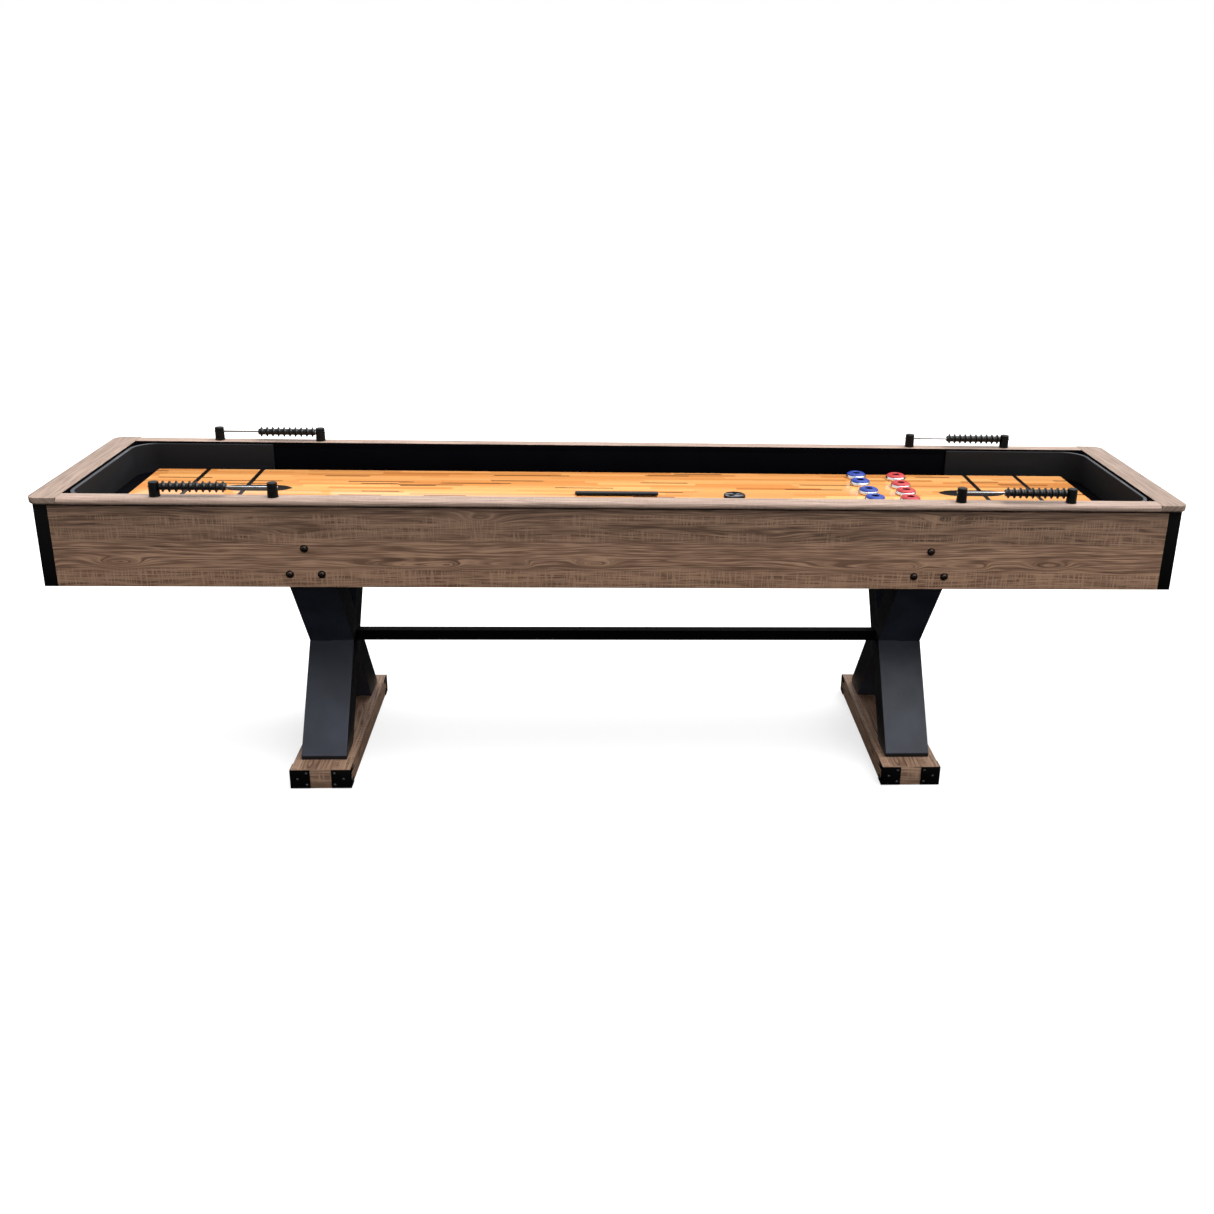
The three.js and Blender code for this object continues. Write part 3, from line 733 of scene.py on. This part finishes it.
def add_end_apron(side):
    """A laminated board outside and the black backing of the end gutter inside."""
    sign = SIDES[side]
    node = f"apron_{side}_end"
    low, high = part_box(node)
    outer, inner = (low.x, high.x) if sign < 0 else (high.x, low.x)
    joint = outer - sign * APRON_BOARD
    board = soft_box((outer, low.y, low.z), (joint, high.y, high.z - SHADOW_GAP), BOARD_EDGE)
    along, across = CUT_FROM["end_apron"]
    map_grain(board, lambda point, normal: (along + sign * point.y, across + point.z - low.z))
    add_piece(f"end_board_{side}", board, ["driftwood"], replaces=[node])
    backing = soft_box((joint, low.y, low.z), (inner, high.y, high.z), BOARD_EDGE)
    add_piece(f"end_backing_{side}", backing, ["board"], replaces=[node])


def add_corner_post(face, side):
    """A black post with its outer corner rounded."""
    node = f"corner_post_{face}_{side}"
    low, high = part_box(node)
    bm = box_mesh(low, high)
    outer_x = high.x if SIDES[side] > 0 else low.x
    outer_y = high.y if FACES[face] > 0 else low.y
    bevel(bm, edges_at(bm, x=outer_x, y=outer_y), 3 * MM, 5)
    bevel(bm, sharp_edges(bm), 0.6 * MM, 2)
    add_piece(f"post_{face}_{side}", bm, ["post_paint"], replaces=[node])


def add_playfield():
    """The slab of staves, with rounded corners and eased edges."""
    low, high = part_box("playfield")
    bm = box_mesh(low, high)
    upright = [edge for edge in bm.edges if abs(edge.verts[0].co.z - edge.verts[1].co.z) > 1 * MM]
    bevel(bm, upright, 4 * MM, 5)
    bevel(bm, sharp_edges(bm), 1.2 * MM, 3)
    add_piece("playfield_slab", bm, ["playfield"], replaces=["playfield"])


def bumper_outline(low, high):
    """The strip seen from above, its closed end at high.x: outer line, then back inside."""
    steps = 20

    def line(inset):
        turn = BUMPER_RADIUS - inset
        centre_x = high.x - BUMPER_RADIUS
        centre_y = high.y - BUMPER_RADIUS
        points = [(low.x, low.y + inset)]
        for start, y in ((-90, -centre_y), (0, centre_y)):
            for i in range(steps + 1):
                angle = math.radians(start + 90 * i / steps)
                points.append((centre_x + turn * math.cos(angle), y + turn * math.sin(angle)))
        points.append((low.x, high.y - inset))
        return points
    return line(0.0) + line(BUMPER_THICKNESS)[::-1]


def add_end_liner(side):
    """The U-shaped bumper strip, whose top edge is pale round its closed end and dark along its arms."""
    sign = SIDES[side]
    node = f"end_liner_{side}"
    low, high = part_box(node)
    if sign < 0:
        low, high = Vector((-high.x, low.y, low.z)), Vector((-low.x, high.y, high.z))
    outline = [(sign * x, y, 0) for x, y in bumper_outline(low, high)]
    bm = prism(outline, (0, 0, 1), low.z, high.z)
    bevel(bm, edges_at(bm, z=high.z), 1.6 * MM, 3)
    paint_faces(bm, 1, lambda centre, normal: normal.z > 0.3)
    add_piece(f"bumper_{side}", bm, ["liner", "liner_edge"], replaces=[node], smooth=30)


# ---------------------------------------------------------------- legs

def dress_cad_node(node, material, width):
    """Shows a CAD node itself, with softened edges and a material of this scene."""
    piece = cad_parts[node]
    piece.data.materials.clear()
    piece.data.materials.append(MATERIALS[material])
    piece.modifiers.new("weld", "WELD").merge_threshold = 0.01 * MM
    flat = piece.modifiers.new("flat", "DECIMATE")
    flat.decimate_type = "DISSOLVE"
    flat.angle_limit = math.radians(1)
    edges = piece.modifiers.new("edges", "BEVEL")
    edges.width = width
    edges.segments = 3
    edges.limit_method = "ANGLE"
    edges.angle_limit = math.radians(30)
    edges.harden_normals = True


def add_foot_beam(side):
    """A laminated beam; its print runs front to back on top and across on the ends."""
    node = f"foot_beam_{side}"
    low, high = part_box(node)
    bm = soft_box(low, high, 1.2 * MM, 3)

    def place(point, normal):
        if abs(normal.y) > 0.7:
            part, spot = "foot_end", (point.x, point.z)
        elif abs(normal.z) > 0.7:
            part, spot = "foot_top", (point.y, point.x - low.x)
        else:
            part, spot = "foot_side", (point.y, point.z)
        return [start + distance for start, distance in zip(CUT_FROM[part], spot)]
    map_grain(bm, place)
    add_piece(f"foot_{side}", bm, ["foot_wood"], replaces=[node])


BRACKET_THICKNESS = 2 * MM
BRACKET_PRONG = 14 * MM
BRACKET_SPINE = 9 * MM
SCREW_HEAD = [
    (0, -1 * MM), (3.4 * MM, -1 * MM), (3.4 * MM, 0.1 * MM), (3.2 * MM, 0.5 * MM), (2.4 * MM, 0.9 * MM),
    (1.9 * MM, 1.0 * MM, cross), (1.6 * MM, 0.0, cross), (0, -0.2 * MM),
]
# Each screw's distance from the fold, as a share of its plate, and from the plate's middle height.
PLATE_SCREWS = ((0.83, -16 * MM), (0.83, 16 * MM), (0.38, 0.0))
FLANGE_SCREWS = ((0.76, -18.5 * MM), (0.76, 18.5 * MM))


def bracket_plate(outline, outward, thickness):
    """A steel plate whose outer face has that outline."""
    bm = prism(outline, outward, -thickness, 0)
    bevel(bm, bm.edges, 0.45 * MM, 2)
    return bm


def add_foot_bracket(side, face, place):
    """A folded corner bracket and its screws: a plate on the beam's end, a forked flange beside it."""
    low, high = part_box(f"foot_bracket_{side}_{face}_{place}")
    name = f"{side}_{face}_{place}"
    to_side = Vector((SIDES[side] * (1 if place == "outer" else -1), 0, 0))
    to_end = Vector((0, FACES[face], 0))
    fold = Vector((high.x if to_side.x > 0 else low.x, high.y if to_end.y > 0 else low.y, low.z))
    width, depth, height = high - low

    def on_plate(across, up):
        return fold - to_side * across + Vector((0, 0, up))

    def on_flange(back, up):
        return fold - to_end * back + Vector((0, 0, up))

    plate = [on_plate(0, 0), on_plate(width, 0), on_plate(width, height), on_plate(0, height)]
    low_prong, high_prong = BRACKET_PRONG, height - BRACKET_PRONG
    flange = [
        on_flange(0, 0), on_flange(depth, 0), on_flange(depth, low_prong),
        on_flange(BRACKET_SPINE, low_prong), on_flange(BRACKET_SPINE, high_prong),
        on_flange(depth, high_prong), on_flange(depth, height), on_flange(0, height),
    ]
    bracket = together(bracket_plate(plate, to_end, BRACKET_THICKNESS),
                       bracket_plate(flange, to_side, BRACKET_THICKNESS))
    add_piece(f"bracket_{name}", bracket, ["bracket"],
              replaces=[f"foot_bracket_{name}"])

    middle = height / 2
    heads = [lathe(SCREW_HEAD, on_plate(share * width, middle + offset), to_end, 32)
             for share, offset in PLATE_SCREWS]
    heads += [lathe(SCREW_HEAD, on_flange(share * depth, middle + offset), to_side, 32)
              for share, offset in FLANGE_SCREWS]
    add_piece(f"screws_{name}", together(*heads), ["screw"])


# ---------------------------------------------------------------- bolts

BOLT_WASHER = [
    (4 * MM, -1 * MM), (9.2 * MM, -1 * MM), (9.5 * MM, -0.7 * MM), (9.5 * MM, 0.9 * MM),
    (9.1 * MM, 1.3 * MM), (4 * MM, 1.3 * MM),
]
BOLT_HEAD = [
    (0, 0), (6.8 * MM, 0), (7.2 * MM, 1.4 * MM), (6.8 * MM, 2.6 * MM), (5.9 * MM, 3.8 * MM),
    (4.6 * MM, 4.7 * MM), (3.6 * MM, 5.0 * MM), (3.1 * MM, 5.0 * MM, hexagon),
    (3.0 * MM, 4.7 * MM, hexagon), (2.9 * MM, 2.0 * MM, hexagon), (0, 1.6 * MM),
]


def add_bolts():
    """Three button-head bolts with washers over each leg, on both aprons."""
    for face, face_sign in FACES.items():
        low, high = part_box(f"apron_{face}")
        surface = high.y if face_sign > 0 else low.y
        for side, sign in SIDES.items():
            for number, (x, z) in enumerate(BOLT_PLACES, start=1):
                spot = (sign * x, surface, z)
                axis = (0, face_sign, 0)
                name = f"{face}_{side}_{number}"
                washer = lathe(BOLT_WASHER, spot, axis, 40, closed=True)
                add_piece(f"washer_{name}", washer, ["washer"])
                add_piece(f"bolt_{name}", lathe(BOLT_HEAD, spot, axis, 48), ["bolt"])


# ---------------------------------------------------------------- scorers

def add_scorer_post(face, side, place):
    """A short post, a little narrower towards its top."""
    node = f"scorer_post_{face}_{side}_{place}"
    base, radius, height = round_node(node)
    profile = [
        (0, 0), (radius, 0), (radius, 1.5 * MM), (radius - 0.35 * MM, 2.2 * MM),
        (radius - 1.1 * MM, height), (0, height),
    ]
    bm = lathe(eased(profile, 1.6 * MM, 4), base, segments=56)
    add_piece(f"peg_{face}_{side}_{place}", bm, ["post"], replaces=[node])


def add_scorer_rod(face, side):
    """A polished rod with a small dome where each end comes out of its post."""
    node = f"scorer_rod_{face}_{side}"
    low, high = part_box(node)
    radius = (high.z - low.z) / 2
    length = high.x - low.x
    centre = (low.x, (low.y + high.y) / 2, (low.z + high.z) / 2)
    profile = [
        (0, 0), (radius * 0.5, 0.2 * MM), (radius * 0.85, 0.8 * MM), (radius, 1.6 * MM),
        (radius, length - 1.6 * MM), (radius * 0.85, length - 0.8 * MM),
        (radius * 0.5, length - 0.2 * MM), (0, length),
    ]
    bm = lathe(profile, centre, (1, 0, 0), 32)
    add_piece(f"rod_{face}_{side}", bm, ["rod"], replaces=[node])


def add_scorer_beads(face, side):
    """Ten spools with a sharp ridge round the middle, each a piece of its own."""
    node = f"scorer_beads_{face}_{side}"
    low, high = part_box(node)
    pitch = (high.x - low.x) / BEADS_PER_ROD
    ridge = (high.z - low.z) / 2
    hub = ridge - 5.1 * MM
    middle = pitch / 2
    gap = 0.15 * MM
    half = [
        (2.9 * MM, gap), (hub - 1.0 * MM, gap), (hub - 0.3 * MM, gap + 0.4 * MM), (hub, gap + 1.2 * MM),
        (hub, middle - 3.6 * MM), (hub + 0.7 * MM, middle - 2.5 * MM), (hub + 2.2 * MM, middle - 1.6 * MM),
        (ridge - 0.8 * MM, middle - 0.8 * MM), (ridge, middle - 0.3 * MM),
    ]
    profile = half + [(radius, pitch - x) for radius, x in reversed(half)]
    for number in range(BEADS_PER_ROD):
        start = (low.x + number * pitch, (low.y + high.y) / 2, (low.z + high.z) / 2)
        bm = lathe(profile, start, (1, 0, 0), 40, closed=True)
        add_piece(f"bead_{face}_{side}_{number + 1}", bm, ["bead"], body=node,
                  replaces=[node], smooth=50)


# ---------------------------------------------------------------- loose accessories

def add_puck(colour, number):
    """A chromed weight and a plastic cap, whose raised ring leaves a deep dimple."""
    node = f"puck_{colour}_{number}"
    base, radius, top = round_node(node)
    weight_top = 9.5 * MM
    weight = [
        (0, 0.4 * MM), (radius - 3 * MM, 0.4 * MM), (radius - 2.4 * MM, 0), (radius - 1.8 * MM, 0),
        (radius - 0.6 * MM, 0.8 * MM), (radius, 2.6 * MM), (radius, 4.2 * MM),
        (radius - 0.4 * MM, 6.0 * MM), (radius - 1.2 * MM, 8.0 * MM), (radius - 2.0 * MM, 9.1 * MM),
        (radius - 2.8 * MM, weight_top), (0, weight_top),
    ]
    add_piece(f"weight_{colour}_{number}", lathe(eased(weight, 0.4 * MM, 2), base, segments=72),
              ["chrome"], body=node, replaces=[node])

    rim = radius - 2.0 * MM
    dimple_radius = 9.6 * MM
    cap = [
        (rim - 1 * MM, weight_top - 0.2 * MM), (rim, weight_top + 0.1 * MM), (rim, weight_top + 1.6 * MM),
        (rim - 1.6 * MM, weight_top + 2.8 * MM), (rim - 4.6 * MM, top - 0.8 * MM), (rim - 7.0 * MM, top),
        (11.6 * MM, top - 0.2 * MM), (9.8 * MM, top - 1.2 * MM), (8.8 * MM, top - 2.8 * MM),
        (7.8 * MM, weight_top + 0.8 * MM), (0, weight_top + 0.6 * MM),
    ]
    bm = lathe(eased(cap, 1.0 * MM, 3), base, segments=72)
    # The dimple takes the darker pit colour: painted shade in the recess.
    paint_faces(bm, 1, lambda point, normal: math.dist(point.xy, base[:2]) < dimple_radius)
    add_piece(f"cap_{colour}_{number}", bm, [colour, f"{colour}_pit"], body=node,
              replaces=[node], smooth=50)


def add_brush():
    """A narrow handle lying on its side, with a row of bristle tufts towards the front."""
    low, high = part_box("brush")
    handle_width = 15 * MM
    stock_front = high.y - handle_width
    bm = box_mesh((low.x, stock_front, low.z), (high.x, high.y, high.z))
    bevel(bm, bm.edges, 1.6 * MM, 3)
    add_piece("brush_stock", bm, ["handle"], body="brush", replaces=["brush"])

    random.seed(4)
    tufts = []
    tufts_per_row = 46
    margin = 4 * MM
    pitch = (high.x - low.x - 2 * margin) / tufts_per_row
    length = stock_front - low.y
    for i in range(tufts_per_row):
        x = low.x + margin + (i + 0.5) * pitch
        for z in (low.z + 2 * MM, high.z - 2 * MM):
            reach = length * random.uniform(0.9, 0.99)
            profile = [(0, -1 * MM), (1.2 * MM, -1 * MM), (1.5 * MM, reach * 0.5), (1.9 * MM, reach),
                       (0, reach - 0.3 * MM)]
            tufts.append(lathe(profile, (x, stock_front, z), (0, -1, 0), 10))
    add_piece("brush_bristles", together(*tufts), ["bristle"], body="brush")


def add_wax_tin():
    """A round tin with a rolled lid and a recessed top, streaked with a painted highlight."""
    base, radius, height = round_node("wax_tin")
    lid_bottom = height - 7 * MM
    can = [(0, 0.3 * MM), (radius - 3 * MM, 0), (radius - 1.4 * MM, 0.8 * MM),
           (radius - 1.0 * MM, lid_bottom + 1 * MM), (0, lid_bottom + 1 * MM)]
    add_piece("tin_can", lathe(eased(can, 0.6 * MM), base, segments=64), ["enamel"],
              body="wax_tin", replaces=["wax_tin"])
    lid = [
        (0, lid_bottom + 1.2 * MM), (radius - 0.6 * MM, lid_bottom + 0.2 * MM),
        (radius, lid_bottom + 0.6 * MM), (radius, lid_bottom + 1.6 * MM),
        (radius - 0.4 * MM, lid_bottom + 2.2 * MM),
        (radius - 0.4 * MM, height - 1.4 * MM), (radius - 1.0 * MM, height - 0.2 * MM),
        (radius - 2.2 * MM, height), (radius - 3.2 * MM, height - 0.4 * MM),
        (radius - 4.2 * MM, height - 1.2 * MM), (0, height - 1.1 * MM),
    ]
    bm = lathe(eased(lid, 0.5 * MM), base, segments=64)
    recess = radius - 3.4 * MM
    paint_faces(bm, 1, lambda point, normal: normal.z > 0.5 and math.dist(point.xy, base[:2]) < recess)
    add_piece("tin_lid", bm, ["enamel", "tin_top"], body="wax_tin", replaces=["wax_tin"])


# ---------------------------------------------------------------- the table

def build_table():
    """Adds every piece, and dresses the CAD nodes that are shown as they are."""
    for face in FACES:
        add_side_rail(face)
        add_long_apron(face)
    for side in SIDES:
        add_end_rail(side)
        add_end_apron(side)
        add_end_liner(side)
        add_foot_beam(side)
        for face in FACES:
            add_corner_post(face, side)
            add_scorer_rod(face, side)
            add_scorer_beads(face, side)
            for place in ("left", "right"):
                add_scorer_post(face, side, place)
            for place in ("inner", "outer"):
                add_foot_bracket(side, face, place)
        dress_cad_node(f"leg_{side}_plank_rising_back", "paint", 1.5 * MM)
        dress_cad_node(f"leg_{side}_plank_rising_front", "paint", 1.5 * MM)
        dress_cad_node(f"leg_top_beam_{side}", "board", 1 * MM)
    dress_cad_node("stretcher", "dull_paint", 1.5 * MM)
    dress_cad_node("gutter_floor", "board", 0.8 * MM)
    add_playfield()
    add_bolts()
    for number in range(1, PUCKS_PER_COLOUR + 1):
        add_puck("blue", number)
        add_puck("red", number)
    add_brush()
    add_wax_tin()


# ---------------------------------------------------------------- studio

def add_floor():
    """A wide white floor with only faint shadows, which throws no light back on the table."""
    bm = lathe([(0, -2 * MM), (60, -2 * MM)], (0, 0, 0), segments=64)
    mesh = bpy.data.meshes.new("floor")
    bm.to_mesh(mesh)
    bm.free()
    mesh.materials.append(Nodes("floor").finish(
        Base_Color=(0.4, 0.4, 0.4, 1),
        Roughness=0.9,
        Specular_IOR_Level=0.0,
        Emission_Color=(1, 1, 1, 1),
        Emission_Strength=0.64,
    ))
    floor = bpy.data.objects.new("floor", mesh)
    floor.visible_diffuse = False
    floor.visible_glossy = False
    bpy.context.scene.collection.objects.link(floor)


def add_soft_light():
    """A very wide, soft light from overhead, a little to the right and front."""
    light = bpy.data.lights.new("soft_light", "SUN")
    light.energy = 6.0
    light.angle = math.radians(70)
    holder = bpy.data.objects.new("soft_light", light)
    holder.rotation_euler = Vector((-0.42, 0.06, -1)).to_track_quat("-Z", "Y").to_euler()
    bpy.context.scene.collection.objects.link(holder)


def add_studio():
    """White all round and overhead, and dark below, so that undersides stay dark."""
    add_floor()
    add_soft_light()
    world = bpy.data.worlds.new("studio")
    world.use_nodes = True
    tree = world.node_tree
    direction = tree.nodes.new("ShaderNodeTexCoord")
    split = tree.nodes.new("ShaderNodeSeparateXYZ")
    glow = tree.nodes.new("ShaderNodeMapRange")
    tree.links.new(direction.outputs["Generated"], split.inputs[0])
    tree.links.new(split.outputs["Z"], glow.inputs["Value"])
    glow.inputs["From Min"].default_value = -0.10
    glow.inputs["From Max"].default_value = -0.04
    background = tree.nodes["Background"]
    background.inputs["Color"].default_value = (1, 1, 1, 1)
    tree.links.new(glow.outputs[0], background.inputs["Strength"])
    bpy.context.scene.world = world
    bpy.context.scene.view_settings.view_transform = "Standard"


def add_camera():
    """Stands a little left of the middle, looks down by 20 degrees and leans slightly."""
    yaw, pitch, roll = math.radians(3.615), math.radians(19.98), math.radians(1.45)
    lens = bpy.data.cameras.new("camera")
    lens.sensor_width = 36
    lens.lens = 37.52
    lens.shift_x = -0.0529
    lens.shift_y = -0.0245
    camera = bpy.data.objects.new("camera", lens)
    place = Matrix.Translation((-0.0622, -3.1581, 1.6172))
    turn = Euler((math.pi / 2 - pitch, 0, -yaw)).to_matrix().to_4x4()
    camera.matrix_world = place @ turn @ Matrix.Rotation(roll, 4, "Z")
    bpy.context.scene.collection.objects.link(camera)
    bpy.context.scene.camera = camera


build_table()
add_studio()
add_camera()
